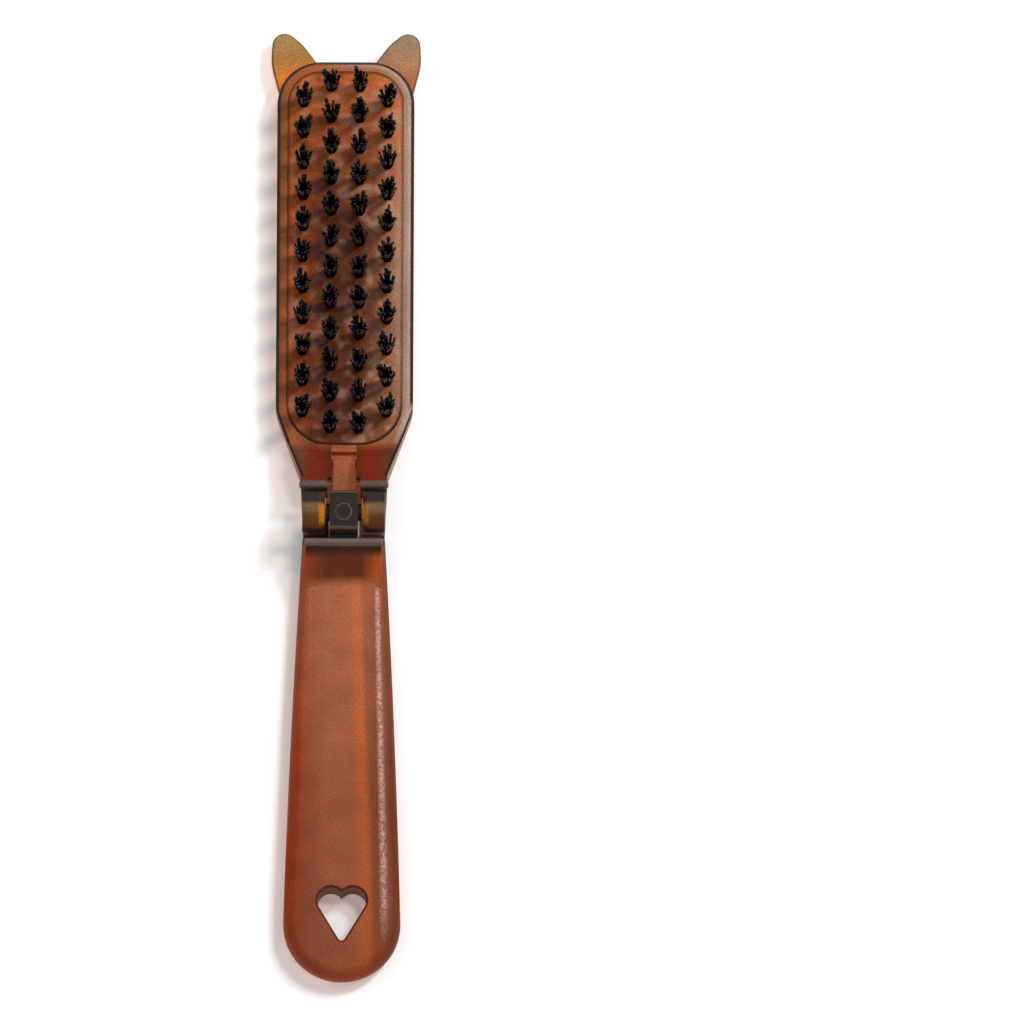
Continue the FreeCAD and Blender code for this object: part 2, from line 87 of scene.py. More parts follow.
# Making of the meshes
WELD = 0.002 * MM                    # points nearer than this are one
FLAT = math.radians(0.3)             # faces that turn less than this are one
SMOOTH = math.radians(32)            # edges that turn less than this are shaded smooth
SOFTENED = math.radians(40)          # edges that turn more than this get a small round
ROOT_R = 0.85 * MM                   # radius of a tuft's bound root
LEAN_POWER = 0.9                     # a strand leans out with this power of its height
STRAND_SIDES = 6
BOUND_RINGS = 3                      # rings of faces, from a strand's foot up, that lie bound in the root


def linear(hex_colour):
    """Linear red, green, blue and alpha of an sRGB hex colour."""
    srgb = np.array([int(hex_colour[i:i + 2], 16) for i in (0, 2, 4)]) / 255
    low = srgb / 12.92
    high = ((srgb + 0.055) / 1.055) ** 2.4
    return (*(float(v) for v in np.where(srgb <= 0.04045, low, high)), 1.0)


def colour_property(name, description, hex_colour):
    """Setting for a colour, which starts as an sRGB hex value."""
    return bpy.props.FloatVectorProperty(
        name=name, description=description, subtype="COLOR", size=4, min=0, max=1, default=linear(hex_colour))


def length_property(name, description, millimetres):
    """Setting for a length in metres, which starts at a number of millimetres."""
    return bpy.props.FloatProperty(
        name=name, description=description, unit="LENGTH", precision=5, min=0, default=millimetres * MM)


class AmberProperties(bpy.types.PropertyGroup):
    """Colours and grain of the amber mouldings"""

    face: colour_property("Face", "Flat faces of the handle", "9B5431")
    glow: colour_property("Glow", "Band where light gathers inside the handle", "B45820")
    lit_edge: colour_property(
        "Glowing edge", "Rounded edges away from the lamp, where light comes out", "923204")
    # dark_edge is painted shade on the rounded edges towards the lamp
    dark_edge: colour_property("Dark edge", "Rounded edges towards the lamp", "682804")
    plate: colour_property("Plate", "Bristle plate", "682C0E")
    # outline is painted shade: the dark line that small rounds show where the amber bends the light away
    outline: colour_property("Outline", "Small rounds along the edges of the head", "2E150A")
    deep: colour_property("Deep", "Thick walls of the ramps", "742004")
    # bead is amber under a painted grey sheen of the light on the beads' tops
    bead: colour_property("Bead", "Beads of the lips", "62524A")
    # clear is painted gold light that comes through the amber, at the barrels' inner ends and under the
    # knuckle
    clear: colour_property("Clear", "Inner ends of the barrels", "BE7008")
    # Knuckle and button: near black, partly for the thick block with the steel pin through it and partly
    # painted shade where they lie deep in the hinge
    dark_and_shaded: colour_property("Smoke", "Knuckle and button", "271C17")
    back: colour_property("Back", "Faces of the head's back, lit through", "C07030")
    grain: length_property("Grain", "Spacing of the moulded grain", 0.4)
    depth: length_property("Depth", "How far red light travels in the amber", 2.0)


class TuftProperties(bpy.types.PropertyGroup):
    """Nylon strands of the tufts"""

    count: bpy.props.IntProperty(
        name="Strands", description="Strands in each tuft", subtype="UNSIGNED", default=34, min=8)
    bunch: bpy.props.IntProperty(
        name="Bunch", description="Strands that stick together in the longest tip", subtype="UNSIGNED",
        default=6, min=1)
    radius: length_property("Radius", "Radius of one strand", 0.23)
    bulb: bpy.props.FloatProperty(
        name="Bulb", description="Width of the rounded tip over the strand's width", subtype="FACTOR",
        default=1.35, min=1.0, max=2.0)
    colour: colour_property("Colour", "Dyed nylon", "0B0C0E")
    seed: bpy.props.IntProperty(
        name="Seed", description="Start of the random draws", subtype="UNSIGNED", default=11)


class StageProperties(bpy.types.PropertyGroup):
    """Floor, light and camera"""

    floor: colour_property("Floor", "Plain pale floor", "FAFAFA")
    ambient: bpy.props.FloatProperty(
        name="Ambient", description="Strength of the even light", subtype="FACTOR", min=0, max=2, default=0.6)
    key: bpy.props.FloatProperty(
        name="Key", description="Power of the key lamp", unit="POWER", min=0, default=6.6)
    elevation: bpy.props.FloatProperty(
        name="Elevation", description="Camera's height over the horizon", subtype="ANGLE",
        default=math.radians(76.3))
    roll: bpy.props.FloatProperty(
        name="Roll", description="Turn of the camera about its own axis", subtype="ANGLE",
        default=math.radians(0.2))
    aside: length_property("Aside", "How far right of the brush the camera looks", 36.7)
    frame_width: length_property("Frame width", "Width of the picture at the brush", 223.4)


def add_node(tree, kind, *values, stops=(), **settings):
    """Adds a node and gives its outputs. values fill its inputs in order, or one dict fills them by name or
    number, and a value that is another node's output is linked. stops are the (place, colour) pairs of a
    colour ramp. A colour that is text is an sRGB hex value."""
    node = tree.nodes.new("ShaderNode" + kind)
    for name, value in settings.items():
        setattr(node, name, value)
    inputs = values[0] if values and isinstance(values[0], dict) else dict(enumerate(values))
    for key, value in inputs.items():
        if isinstance(value, bpy.types.NodeSocket):
            tree.links.new(value, node.inputs[key])
        else:
            node.inputs[key].default_value = linear(value) if isinstance(value, str) else value
    for i, (place, colour) in enumerate(stops):
        elements = node.color_ramp.elements
        element = elements[i] if i < len(elements) else elements.new(place)
        element.position = place
        element.color = linear(colour) if isinstance(colour, str) else colour
    return node.outputs


def new_material(name):
    """Empty node material, and the function that adds nodes to it."""
    material = bpy.data.materials.new(name)
    material.use_nodes = True
    material.node_tree.nodes.clear()
    return material, functools.partial(add_node, material.node_tree)


def amber_material(name, layers_of, smoothest=0.3, roughest=0.44, clear=0.8):
    """Injection-moulded translucent amber polystyrene, its mould eroded to a fine matt grain, with a thin
    haze on the faces. layers_of gives the base colour and the layers over it, from place and normal; they
    paint in a deep orange glow where light runs inside, a grainy painted highlight along the rounds and
    painted shade at
    edges. A layer is (value, start, end, strength, colour): it covers nothing where the value is at start,
    and has its strength where the value is at end. The roughness follows the grain. clear is the share of the
    lamp's light that goes through one face of a wall, so the shadow is pale and warm."""
    amber = bpy.context.scene.brush_amber
    material, node = new_material(name)
    coordinates = node("TexCoord")
    place = coordinates["Object"]
    colour, layers = layers_of(node, place, coordinates["Normal"])
    for value, start, end, strength, over in layers:
        factor = node("MapRange", value, start, end, 0.0, strength)[0]
        colour = node("Mix", {0: factor, 6: colour, 7: over}, data_type="RGBA")[2]
    # The grain at its named spacing, and a slower unevenness of the wall, make the colour lighter and darker
    uneven = 20 * amber.grain
    grain = node("TexNoise", {"Vector": place, "Scale": 1 / amber.grain, "Detail": 1.0})["Fac"]
    cloud = node("TexNoise", {"Vector": place, "Scale": 1 / uneven, "Detail": 2.0})["Fac"]
    fine = node("MapRange", grain, *NOISE, 0.8, 1.22)[0]
    slow = node("MapRange", cloud, *NOISE, 0.88, 1.12)[0]
    shade = node("Math", fine, slow, operation="MULTIPLY")[0]
    colour = node("Mix", {0: 1.0, 6: colour, 7: shade}, data_type="RGBA", blend_type="MULTIPLY")[2]
    shader = node("BsdfPrincipled", {
        "Base Color": colour,
        "Roughness": node("MapRange", grain, *NOISE, smoothest, roughest)[0],
        "IOR": 1.57,
        "Specular IOR Level": 0.1,
        "Normal": node("Bump", {"Height": grain, "Strength": 0.4, "Distance": amber.grain / 4})[0],
        "Subsurface Weight": 0.6,
        "Subsurface Radius": (1.0, 0.3, 0.1),
        "Subsurface Scale": amber.depth,
        "Transmission Weight": 0.1,
    })[0]
    through = node("BsdfTransparent", "FCF0E8")[0]
    share = node("Math", node("LightPath")["Is Shadow Ray"], clear, operation="MULTIPLY")[0]
    node("OutputMaterial", node("MixShader", share, shader, through)[0])
    return material


def past_outline(node, across, along, corner_x, corner_y, radius):
    """How far a point is outside a round corner and the straight sides that run into it, below 0 inside:
    |max(p - c, 0)| - radius, with p = (across, along) and c the centre of the corner's arc."""
    place = node("CombineXYZ", across, along)[0]
    centre = (corner_x - radius, corner_y - radius, 0)
    off = node("VectorMath", place, centre, operation="SUBTRACT")[0]
    beyond = node("VectorMath", off, operation="MAXIMUM")[0]
    length = node("VectorMath", beyond, operation="LENGTH")[1]
    return node("Math", length, radius, operation="SUBTRACT")[0]


def handle_layers(node, place, normal):
    """Brown face, paler at the hinge and darker at the end, with a painted band of glow right of the middle
    and a speckled painted highlight beside it; rounded edges with painted glow away from the lamp and painted
    shade towards it; a back with painted light on one side; a dark ramp with painted glow at its sides,
    painted shade under the bead, a bead with a painted grey sheen and painted shade under the knuckle; and a
    painted dark rim and paler wall of the heart-shaped hole."""
    amber = bpy.context.scene.brush_amber
    x, y, z = node("SeparateXYZ", place)
    up = node("SeparateXYZ", normal)[2]
    level = node("Math", up, operation="ABSOLUTE")[0]
    down = node("Math", AXIS.y, y, operation="SUBTRACT")[0]
    # across goes from 0 to 1 over the handle's width, and its middle drifts to the right towards the end
    half = HANDLE_HIGH.x
    width = node("MapRange", y, HANDLE_LOW.y + half, HANDLE_HIGH.y, half, HANDLE_TAPER * half)[0]
    drift = node("MapRange", down, *HANDLE_FACE, -0.1 * MM, 1.3 * MM)[0]
    lane = node("Math", x, drift, operation="SUBTRACT")[0]
    across = node("MapRange", node("Math", lane, width, operation="DIVIDE")[0], -1.0, 1.0)[0]
    # Across the face: painted glow on the edge away from the lamp, a painted band of glow right of the
    # middle, and painted shade towards the lamp
    face = node("ValToRGB", across, stops=[
        (0.05, amber.lit_edge), (0.16, "8B4626"), (0.32, amber.face), (0.56, amber.face),
        (0.635, amber.glow), (0.68, amber.glow), (0.735, "84421E"), (0.93, amber.dark_edge)])[0]
    # The rounds: painted glow away from the lamp, painted shade towards it
    edge = node("ValToRGB", across, stops=[
        (0.1, amber.lit_edge), (0.6, amber.lit_edge), (0.9, amber.dark_edge)])[0]
    # The ramp: dark, with painted glow at its sides
    ramp = node("ValToRGB", across, stops=[
        (0.1, "86380E"), (0.3, "642A10"), (0.72, "5C2610"), (0.9, "A4480C")])[0]
    # The back: painted light that has come through the amber, bright on one side
    back = node("ValToRGB", across, stops=[
        (0.06, "9A4A14"), (0.13, "D0782A"), (0.27, "CC742A"), (0.38, "A65A30"), (0.75, "AE6234"),
        (0.95, "A84E16")])[0]
    # The gleam is a painted highlight along the right round. It keeps nearly the same x along the handle and
    # gets wider towards its end
    gleam_x = node("MapRange", down, *HANDLE_FACE, 7.3 * MM, 9.2 * MM)[0]
    gleam_half = node("MapRange", down, *HANDLE_FACE, 0.65 * MM, 1.1 * MM)[0]
    off_gleam = node("Math", node("Math", x, gleam_x, operation="SUBTRACT")[0], operation="ABSOLUTE")[0]
    speck = 1.4 * amber.grain
    speckle = node("TexNoise", {"Vector": place, "Scale": 1 / speck, "Detail": 1.0})["Fac"]
    gleam = node("MapRange", speckle, 0.36, 0.6, 0.3, node("MapRange", up, 0.4, 0.7)[0])[0]
    gleam = node("MapRange", down, 15 * MM, 17 * MM, 0.0, gleam)[0]
    gleam = node("MapRange", down, 95 * MM, 86 * MM, 0.0, gleam)[0]
    far_back = node("MapRange", up, -0.3, -0.8, 0.0, 0.6)[0]
    low_side = node("MapRange", up, 0.5, -0.1)[0]
    raised = node("MapRange", z, FACE_Z + 0.02 * MM, FACE_Z + MM)[0]
    beyond_bead = node("MapRange", down, 6.0 * MM, 5.8 * MM)[0]
    from_heart = node("VectorMath", place, HEART, operation="DISTANCE")[1]
    by_heart = node("MapRange", from_heart, 8.0 * MM, 7.6 * MM)[0]
    return face, [
        (down, 60 * MM, 18 * MM, 0.45, "B46E48"),
        (down, 45 * MM, 100 * MM, 0.5, "7E3A18"),
        (up, 0.95, 0.4, 1.0, edge),
        (off_gleam, gleam_half, 0.1 * MM, gleam, "C4A294"),
        (up, -0.3, -0.8, 1.0, back),
        (down, 40 * MM, 100 * MM, far_back, "843812"),
        (down, 17 * MM, 13 * MM, low_side, "4C3A30"),
        (raised, 0.0, 1.0, 1.0, ramp),
        # Painted shade under the bead, a painted grey sheen on the bead, and painted shade under the knuckle
        (down, 9.8 * MM, 8.2 * MM, raised, "38190C"),
        (down, 7.4 * MM, 7.0 * MM, raised, "70605A"),
        (z, 10.6 * MM, 9.6 * MM, beyond_bead, "3C2A22"),
        # A painted dark rim of shade round the heart-shaped hole, and the hole's paler wall
        (level, 0.97, 0.8, by_heart, "5E3022"),
        (level, 0.5, 0.2, by_heart, "7A4A2E"),
    ]


def head_layers(node, place, normal):
    """Amber rim and side walls, with painted haze towards the lamp, painted glow away from it and a painted
    dark outline of shade that goes on down the neck; olive ears with painted glow of light through them; a
    deep ramp with the leaf's strip of painted haze in its middle and painted light on the slot's end wall;
    beads with a painted grey sheen and painted shade on the lip's steep sides; barrels with painted shade
    where they turn away and painted gold light at their inner ends; and a back bright with painted light that
    comes through, with the tufts' roots showing through. A root shows where the distance to the nearest tuft
    is
    small: along a column |wrap(y - y0)| with the rows' pitch, across it ||x| - column|."""
    amber = bpy.context.scene.brush_amber
    x, y, z = node("SeparateXYZ", place)
    up = node("SeparateXYZ", normal)[2]
    aside = node("Math", x, operation="ABSOLUTE")[0]
    across = node("MapRange", x, -HEAD_HALF, HEAD_HALF)[0]
    ahead = node("Math", y, AXIS.y, operation="SUBTRACT")[0]
    below_tip = node("Math", EAR_TIP_Y, y, operation="SUBTRACT")[0]
    edge = past_outline(node, aside, y, HEAD_HALF, PLATE_HIGH.y + RIM, HEAD_CORNER)
    # Painted haze makes the rim paler towards the lamp; painted glow makes the side walls brighter away from
    # it
    rim = node("ValToRGB", across, stops=[
        (0.0, "70401C"), (0.08, "9A5420"), (0.3, "A05A2A"), (0.7, "A86A44"), (0.96, "A88674")])[0]
    wall = node("ValToRGB", across, stops=[(0.2, "925018"), (0.8, "7A4418")])[0]
    # upper is near the top edge, which rises from the rim to the lip, and lower is the wall under it
    top_z = node("MapRange", ahead, *RAMP_Y, LIP_Z, FACE_Z)[0]
    drop = node("Math", top_z, z, operation="SUBTRACT")[0]
    upper = node("MapRange", drop, 1.3 * MM, 0.8 * MM)[0]
    lower = node("MapRange", drop, 0.8 * MM, 1.3 * MM)[0]
    above_neck = node("MapRange", ahead, 22 * MM, 26 * MM, 0.0, upper)[0]
    lit_rim = node("MapRange", across, 0.3, 1.0, 0.0, above_neck)[0]
    # slant is level along the neck's sides
    narrowed = node("Math", ahead, NECK_SLOPE, operation="MULTIPLY")[0]
    slant = node("Math", aside, narrowed, operation="SUBTRACT")[0]
    on_neck = node("MapRange", ahead, 26 * MM, 24 * MM, 0.0, upper)[0]
    on_neck = node("MapRange", ahead, 8.2 * MM, 8.8 * MM, 0.0, on_neck)[0]
    lit_neck = node("MapRange", x, 0.0, MM, 0.0, on_neck)[0]
    lit_neck = node("MapRange", ahead, 16 * MM, 21 * MM, 0.0, lit_neck)[0]
    ramp = node("ValToRGB", node("MapRange", aside, 0.0, 10 * MM)[0], stops=[
        (0.28, "5A240C"), (0.52, amber.deep), (0.7, amber.deep), (0.92, "64341A")])[0]
    # The leaf's strip goes on between its slit and the plate's seam
    strip = node("MapRange", ahead, 18 * MM, 17 * MM)[0]
    strip = node("MapRange", aside, 2.9 * MM, 2.5 * MM, 0.0, strip)[0]
    # in_slot is the slot's end wall, which lies in shade and is painted lighter
    in_slot = node("MapRange", z, FACE_Z + MM, FACE_Z)[0]
    in_slot = node("MapRange", aside, 4.8 * MM, 4.4 * MM, 0.0, in_slot)[0]
    # The ears are what lies outside the outline, near the tips and below their top faces
    ears = node("MapRange", z, 5.4 * MM, 5.2 * MM)[0]
    ears = node("MapRange", edge, 0.05 * MM, 0.2 * MM, 0.0, ears)[0]
    ears = node("MapRange", below_tip, 18 * MM, 17 * MM, 0.0, ears)[0]
    # The ears' colour from base to tip is painted light through the thin amber, with more painted glow on the
    # left ear
    rise = node("MapRange", below_tip, 15 * MM, 0.0)[0]
    left_ear = node("ValToRGB", rise, stops=[(0.2, "DA7A00"), (0.6, "A87438"), (0.95, "98804C")])[0]
    right_ear = node("ValToRGB", rise, stops=[(0.2, "AC683A"), (0.6, "A47A5C"), (0.95, "948264")])[0]
    # The barrels' colour round their turn is painted light and shade: dark where they turn away from the
    # light, amber where light comes through
    turn = node("MapRange", ahead, -BARREL_R, BARREL_R)[0]
    barrel = node("ValToRGB", turn, stops=[
        (0.02, "2A1A10"), (0.07, "5A340C"), (0.33, "643E14"), (0.42, "705436"), (0.6, "705436"),
        (0.68, "342A24")])[0]
    off_axis = node("Math", ahead, operation="ABSOLUTE")[0]
    barrels = node("MapRange", z, 7.0 * MM, 8.0 * MM)[0]
    barrels = node("MapRange", off_axis, 5.2 * MM, 4.8 * MM, 0.0, barrels)[0]
    # gold is painted light at the barrels' inner ends
    gold = node("MapRange", aside, 5.6 * MM, 4.9 * MM, 0.0, barrels)[0]
    gold = node("MapRange", turn, 0.08, 0.2, 0.0, gold)[0]
    # side is painted shade on the steep sides of the lip
    side = node("MapRange", z, 11.0 * MM, 10.6 * MM)[0]
    side = node("MapRange", up, 0.5, 0.2, 0.0, side)[0]
    under = node("MapRange", up, -0.2, -0.7)[0]
    middle = node("MapRange", aside, 13 * MM, 7 * MM, 0.0, node("MapRange", under, 0.0, 1.0, 0.0, 0.85)[0])[0]
    middle = node("MapRange", below_tip, 18 * MM, 48 * MM, 0.0, middle)[0]
    by_hinge = node("MapRange", aside, 3.2 * MM, 4.6 * MM, 0.0, under)[0]
    layers = [
        (up, 0.75, 0.4, lower, wall),
        (ahead, 24 * MM, 17 * MM, 0.8, "94502A"),
        (edge, -1.6 * MM, -1.1 * MM, lit_rim, LAMP_HAZE),
        # Painted shade: the dark outline along the small rounds, on the ears and down the neck
        (edge, -0.85 * MM, -0.55 * MM, above_neck, amber.outline),
        (up, 0.97, 0.6, upper, amber.outline),
        (ears, 0.0, 1.0, 1.0, left_ear),
        (x, -MM, MM, ears, right_ear),
        (up, 0.95, 0.6, ears, "544230"),
        (slant, 4.1 * MM, 4.6 * MM, lit_neck, LAMP_HAZE),
        (z, FACE_Z, FACE_Z + 0.8 * MM, 1.0, ramp),
        (slant, 5.35 * MM, 5.65 * MM, on_neck, amber.outline),
        (ahead, 12 * MM, 13 * MM, strip, STRIP_HAZE),
        (ahead, 15.2 * MM, 14.4 * MM, in_slot, "B0683A"),
        (ahead, 7.6 * MM, 7.2 * MM, 1.0, amber.bead),
        (ahead, 13 * MM, 7 * MM, side, "48301F"),
        (barrels, 0.0, 1.0, 1.0, barrel),
        (turn, 0.66, 0.52, gold, amber.clear),
        (under, 0.0, 1.0, 1.0, amber.back),
        (ahead, 15 * MM, 23 * MM, middle, "7A4E36"),
        (ahead, 14 * MM, 10 * MM, by_hinge, "46301F"),
    ]
    for rows in (TUFT_ROWS[0::2], TUFT_ROWS[1::2]):
        low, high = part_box(rows[0])
        start = (low.y + high.y) / 2
        end = sum(corner.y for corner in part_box(rows[-1])) / 2
        pitch = (end - start) / (len(rows) - 1)
        column = high.x - (high.y - low.y) / 2
        from_first = node("Math", y, start, operation="SUBTRACT")[0]
        along = node("Math", from_first, pitch / 2, -pitch / 2, operation="WRAP")[0]
        away = node("Math", aside, column, operation="SUBTRACT")[0]
        apart = node("VectorMath", node("CombineXYZ", away, along)[0], operation="LENGTH")[1]
        inside = node("Math", y, (start + end) / 2, (end - start + pitch) / 2, operation="COMPARE")[0]
        root = node("MapRange", apart, 1.5 * MM, 0.9 * MM, 0.0, inside)[0]
        layers.append((up, -0.2, -1.2, root, "43362F"))
    return rim, layers


def plate_layers(node, place, normal):
    """Deep amber, paler with painted haze towards the lamp, more orange at the head's top, clouded with
    painted shade and painted reflections of the strands, dark at the seam. The seam's distance is the larger
    one from the outlines of the two ends."""
    amber = bpy.context.scene.brush_amber
    x, y = node("SeparateXYZ", place)[:2]
    aside = node("Math", x, operation="ABSOLUTE")[0]
    across = node("MapRange", x, PLATE_LOW.x, PLATE_HIGH.x)[0]
    base = node("ValToRGB", across, stops=[
        (0.03, "A04C12"), (0.3, amber.plate), (0.62, amber.plate), (0.86, "9A6244"), (0.97, "AE8062")])[0]
    # Clouds of painted shade and painted reflections of the strands, at this spacing
    glint = 3.2 * MM
    cloud = node("TexNoise", {"Vector": place, "Scale": 1 / glint, "Detail": 1.0})["Fac"]
    shaded = node("MapRange", across, 0.95, 0.6, 0.0, 0.55)[0]
    hazy = node("MapRange", across, 0.2, 0.8, 0.3, 0.65)[0]
    top = past_outline(node, aside, y, PLATE_HIGH.x, PLATE_HIGH.y, PLATE_CORNER)
    towards_neck = node("Math", y, -1, operation="MULTIPLY")[0]
    foot = past_outline(node, aside, towards_neck, PLATE_HIGH.x, -PLATE_LOW.y, PLATE_LOW_CORNER)
    seam = node("Math", top, foot, operation="MAXIMUM")[0]
    dark = node("MapRange", y, PLATE_LOW.y + 12 * MM, PLATE_LOW.y + 4 * MM, 0.55, 1.0)[0]
    return base, [
        (y, PLATE_HIGH.y - 34 * MM, PLATE_HIGH.y - 2 * MM, 0.8, "C4662A"),
        (y, PLATE_LOW.y + 30 * MM, PLATE_LOW.y, 0.5, "743A1E"),
        (cloud, 0.46, 0.28, shaded, "4E2412"),
        (cloud, 0.5, 0.68, hazy, "BE8E74"),
        (seam, -0.7 * MM, -0.3 * MM, dark, "421808"),
    ]


def leaf_layers(node, place, normal):
    """Strip with painted haze, and painted gold light where it dips under the knuckle."""
    amber = bpy.context.scene.brush_amber
    y = node("SeparateXYZ", place)[1]
    return STRIP_HAZE, [(y, AXIS.y + 7 * MM, AXIS.y + 3 * MM, 1.0, amber.clear)]


def dark_shaded_layers(node, place, normal):
    """Nearly black, with a painted highlight on the small rounds at the top, a little browner low down where
    light comes through.
    """
    amber = bpy.context.scene.brush_amber
    z = node("SeparateXYZ", place)[2]
    up = node("SeparateXYZ", normal)[2]
    top = node("MapRange", z, AXIS.z + 2.0 * MM, AXIS.z + 2.4 * MM)[0]
    return amber.dark_and_shaded, [
        (up, 0.98, 0.8, top, "62564E"),
        (z, 11 * MM, 6 * MM, 1.0, "50290F"),
    ]


def nylon_material(name, smoothest, roughest, level):
    """Drawn nylon 6 strands, dyed black, slightly uneven in tone over about two widths: free, with a sharp
    narrow gleam along each strand, or bound at the root, where strands that lie close together trap the light
    and show no gloss. level is the specular level."""
    tufts = bpy.context.scene.brush_tufts
    material, node = new_material(name)
    place = node("TexCoord")["Object"]
    noise = node("TexNoise", {"Vector": place, "Scale": 1 / (4 * tufts.radius)})["Fac"]
    shader = node("BsdfPrincipled", {
        "Base Color": node("ValToRGB", noise, stops=[(0.4, tufts.colour), (0.6, "16181B")])[0],
        "Roughness": node("MapRange", noise, *NOISE, smoothest, roughest)[0],
        "IOR": 1.53,
        "Specular IOR Level": level})[0]
    # Strands are thin and stand apart, and the plate glows round them, so they shade it only partly
    passing = 0.8
    share = node("Math", node("LightPath")["Is Shadow Ray"], passing, operation="MULTIPLY")[0]
    node("OutputMaterial", node("MixShader", share, shader, node("BsdfTransparent")[0])[0])
    return material


def steel_material(name, hex_colour):
    """Drawn steel wire: grey metal whose gloss changes in fine lines left by the die."""
    spacing = 0.2 * MM
    material, node = new_material(name)
    place = node("TexCoord")["Object"]
    lines = node("TexNoise", {"Vector": place, "Scale": 1 / spacing, "Detail": 3.0})["Fac"]
    shader = node("BsdfPrincipled", {
        "Base Color": node("ValToRGB", lines, stops=[(NOISE[0], hex_colour), (NOISE[1], "9A9A98")])[0],
        "Metallic": 1.0,
        "Roughness": node("MapRange", lines, 0.0, 1.0, 0.22, 0.42)[0]})[0]
    node("OutputMaterial", shader)
    return material


def link_piece(name, mesh, body, material, node):
    """Puts a finished mesh into the scene on its body, in place of a CAD node."""
    piece = bpy.data.objects.new(name, mesh)
    bpy.context.scene.collection.objects.link(piece)
    mesh.materials.append(material)
    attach(piece, body)
    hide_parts(node)
    return piece


def welded_copy(node, name, added):
    """Mesh of a CAD node with its loose triangles welded and its flat faces merged, smooth up to an angle.
    added lists the low and high corners of plain blocks that the piece has besides."""
    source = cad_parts[node].data
    places = np.empty(len(source.vertices) * 3)
    source.vertices.foreach_get("co", places)
    corners = np.empty(len(source.loops), np.int64)
    source.loops.foreach_get("vertex_index", corners)
    mesh = bpy.data.meshes.new(name)
    mesh.from_pydata(places.reshape(-1, 3), [], corners.reshape(-1, 3))
    solid = bmesh.new()
    solid.from_mesh(mesh)
    bmesh.ops.remove_doubles(solid, verts=solid.verts, dist=WELD)
    bmesh.ops.dissolve_limit(solid, angle_limit=FLAT, verts=solid.verts, edges=solid.edges)
    for low, high in added:
        placed = Matrix.Translation((low + high) / 2) @ Matrix.Diagonal((*(high - low), 1.0))
        bmesh.ops.create_cube(solid, size=1.0, matrix=placed)
    solid.to_mesh(mesh)
    solid.free()
    mesh.polygons.foreach_set("use_smooth", np.ones(len(mesh.polygons), bool))
    mesh.set_sharp_from_angle(angle=SMOOTH)
    return mesh


def skin(node, name, body, material, softened, added=()):
    """Piece with the surface of a CAD node, its sharp edges softened by a round of the given width."""
    piece = link_piece(name, welded_copy(node, name, added), body, material, node)
    bevel = piece.modifiers.new("softened", "BEVEL")
    bevel.width = softened
    bevel.segments = 2
    bevel.limit_method = "ANGLE"
    bevel.angle_limit = SOFTENED
    weighted = piece.modifiers.new("weighted", "WEIGHTED_NORMAL")
    weighted.keep_sharp = True


def tubes(name, centres, radii, sides, bound):
    """Mesh of many round strands. centres is (strand, ring, 3), radii (strand, ring): each ring lies level
    round its centre, ring to ring with four-sided faces, closed at both ends. The faces below ring number
    bound take the second material."""
    strands, rings = radii.shape
    turn = 2 * np.pi * np.arange(sides) / sides
    circle = np.stack([np.cos(turn), np.sin(turn), np.zeros(sides)], axis=1)
    places = centres[:, :, None, :] + radii[:, :, None, None] * circle
    index = np.arange(strands * rings * sides).reshape(strands, rings, sides)
    after = np.roll(index, -1, axis=2)
    walls = np.stack([index[:, :-1], after[:, :-1], after[:, 1:], index[:, 1:]], axis=-1).reshape(-1, 4)
    feet = index[:, 0, ::-1].reshape(-1, sides)
    tips = index[:, -1, :].reshape(-1, sides)
    mesh = bpy.data.meshes.new(name)
    mesh.from_pydata(places.reshape(-1, 3), [], walls.tolist() + feet.tolist() + tips.tolist())
    mesh.polygons.foreach_set("use_smooth", np.ones(len(mesh.polygons), bool))
    of_wall = np.tile(np.repeat(np.arange(rings - 1) < bound, sides), strands)
    second = np.concatenate([of_wall, np.ones(strands, bool), np.zeros(strands, bool)])
    mesh.polygons.foreach_set("material_index", second.astype(np.int32))
    return mesh


